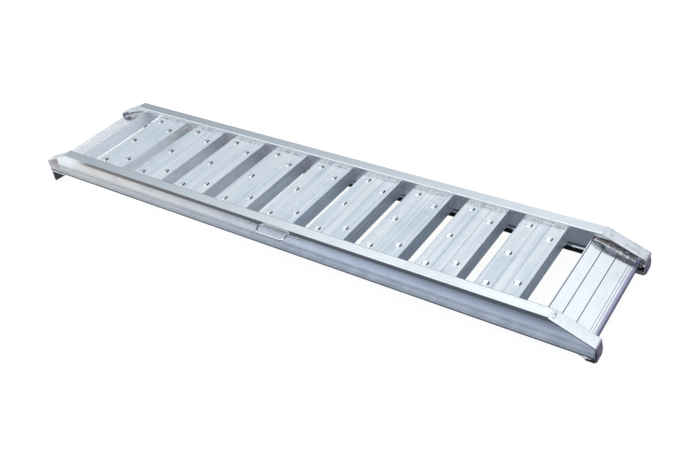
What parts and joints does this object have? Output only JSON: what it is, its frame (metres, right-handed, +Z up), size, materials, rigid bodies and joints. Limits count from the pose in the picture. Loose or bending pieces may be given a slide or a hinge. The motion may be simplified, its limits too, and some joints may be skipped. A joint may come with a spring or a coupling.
{
  "type": "aluminum loading ramp",
  "caption": "Aluminium loading ramp with bent-nose I-section side rails, dimpled channel rungs, sloping end planks, tray hooks, rubber ground pads and a swinging carry handle.",
  "frame": {"origin": "bottom centre of the whole ramp's bounding box: level with the tips of the tray hooks, midway between the tray noses' tips and the ground pads' heels, and midway between the outer edge of the far ground nose and the handle's grip", "axes": "+X along the ramp from the tray end to the ground end, +Y across the track from the near rail (the one with the handle) to the far rail, +Z up, square to the tread surface"},
  "size_m": [2.239, 0.481, 0.149],
  "materials": {
    "rail_aluminium": "satin mill-finish extrusion",
    "tread_aluminium": "bright mill-finish extrusion with fine lengthwise drawing lines",
    "dressed_aluminium": "matt, ground smooth by hand around the welds",
    "black_rubber": "matt black rubber",
    "plated_steel": "bright plated steel"
  },
  "bodies": {
    "ramp": {"near_side_rail": "rail_aluminium", "far_side_rail": "rail_aluminium", "near_tray_nose_cap": "dressed_aluminium", "far_tray_nose_cap": "dressed_aluminium", "near_ground_nose_cap": "dressed_aluminium", "far_ground_nose_cap": "dressed_aluminium", "near_nose_gusset": "dressed_aluminium", "far_nose_gusset": "dressed_aluminium", "rung_1": "tread_aluminium", "rung_2": "tread_aluminium", "rung_3": "tread_aluminium", "rung_4": "tread_aluminium", "rung_5": "tread_aluminium", "rung_6": "tread_aluminium", "rung_7": "tread_aluminium", "rung_8": "tread_aluminium", "rung_9": "tread_aluminium", "tray_end_plank": "tread_aluminium", "ground_end_plank": "tread_aluminium", "near_tray_hook": "dressed_aluminium", "far_tray_hook": "dressed_aluminium", "near_hook_wedge": "black_rubber", "far_hook_wedge": "black_rubber", "near_ground_pad": "black_rubber", "far_ground_pad": "black_rubber", "tray_side_saddle": "plated_steel", "ground_side_saddle": "plated_steel", "saddle_rivets": "plated_steel"},
    "handle": {"carry_handle": "plated_steel"}
  },
  "joints": [
    {"name": "handle_swing", "type": "hinge", "parent": "ramp", "child": "handle", "pos_m": [0.0145, -0.20152, 0.117], "axis": [1, 0, 0], "range_deg": [-36, 93]}
  ]
}
